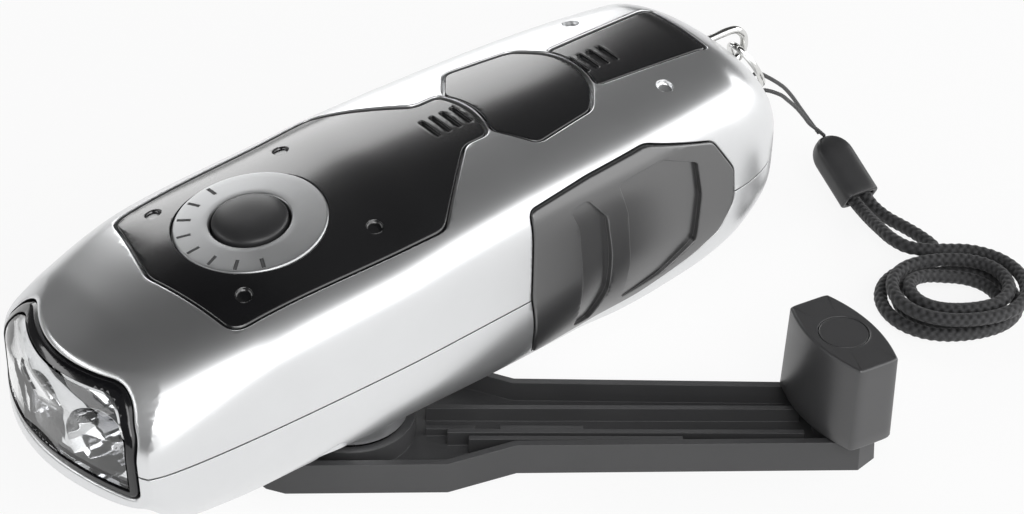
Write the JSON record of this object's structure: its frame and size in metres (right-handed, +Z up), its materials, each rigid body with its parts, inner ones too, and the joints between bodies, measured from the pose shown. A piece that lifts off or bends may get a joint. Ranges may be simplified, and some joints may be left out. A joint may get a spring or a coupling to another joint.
{
  "type": "wind-up flashlight",
  "caption": "Pocket flashlight with a folding crank under its belly, a push button on top, a wide lens in front and a wrist cord at the tail.",
  "frame": {"origin": "where the crank's axis meets the surface that the crank arm lies on", "axes": "+X the way the beam points, +Y the torch's left, +Z up along the crank's axis"},
  "size_m": [0.1787, 0.0819, 0.0566],
  "materials": {
    "silver_paint": "satin",
    "black_gloss": "gloss",
    "dark_plastic": "satin",
    "rubber": "matte",
    "clear_lens": "clear, polished",
    "chrome_trim": "polished",
    "led_epoxy": "clear",
    "green_board": "satin",
    "cell_sleeve": "gloss",
    "white_plastic": "satin",
    "bronze": "machined",
    "steel": "brushed",
    "magnet": "matte",
    "copper": "enamelled wire",
    "braided_cord": "braided"
  },
  "bodies": {
    "housing": {"upper_casing": "silver_paint", "lower_casing": "silver_paint", "casing_screw_1": "steel", "casing_screw_2": "steel", "casing_screw_3": "steel", "casing_screw_4": "steel", "front_panel": "black_gloss", "centre_panel": "black_gloss", "rear_panel": "black_gloss", "grip_left": "rubber", "grip_right": "rubber", "lens_frame": "dark_plastic", "lens": "clear_lens", "reflector": "chrome_trim", "led_1": "led_epoxy", "led_2": "led_epoxy", "led_3": "led_epoxy", "led_board": "green_board", "button_ring": "silver_paint", "switch_body": "dark_plastic", "circuit_board": "green_board", "battery_pack": "cell_sleeve", "gearbox_base": "white_plastic", "gearbox_cover": "white_plastic", "shaft_bush": "bronze", "idler_axle": "steel", "stator_can": "steel", "stator_coil": "copper", "cord_eye": "chrome_trim", "cord_ring": "chrome_trim", "cord_loop": "braided_cord", "cord_lock": "dark_plastic", "cord_lead_1": "braided_cord", "cord_lead_2": "braided_cord", "cord_hank": "braided_cord"},
    "crank": {"crank_arm": "dark_plastic", "crank_pin": "steel", "drive_shaft": "steel", "drive_gear": "white_plastic", "knob_spindle": "steel"},
    "knob": {"knob": "dark_plastic", "knob_cap": "dark_plastic"},
    "idler": {"idler_gear": "white_plastic"},
    "rotor": {"rotor_shaft": "steel", "rotor_pinion": "white_plastic", "rotor_magnet": "magnet"},
    "button": {"power_button": "rubber"}
  },
  "joints": [
    {"name": "crank_turn", "type": "hinge", "parent": "housing", "child": "crank", "pos_m": [0, 0, 0], "axis": [0, 0, 1], "continuous": true},
    {"name": "knob_spin", "type": "hinge", "parent": "crank", "child": "knob", "pos_m": [-0.06472, 0.04754, 0.01], "axis": [0, 0, 1], "continuous": true},
    {"name": "idler_turn", "type": "hinge", "parent": "housing", "child": "idler", "pos_m": [-0.0172, 0, 0.025], "axis": [0, 0, 1], "continuous": true},
    {"name": "rotor_turn", "type": "hinge", "parent": "housing", "child": "rotor", "pos_m": [-0.0344, 0, 0.03], "axis": [0, 0, 1], "continuous": true},
    {"name": "button_press", "type": "slide", "parent": "housing", "child": "button", "axis": [-0.1323, 0, -0.9912], "range_m": [0, 0.0012], "stiffness_N_per_m": 900}
  ],
  "couplings": [
    {"joint": "idler_turn", "follows": "crank_turn", "ratio": -3.25},
    {"joint": "rotor_turn", "follows": "crank_turn", "ratio": 10.562}
  ]
}
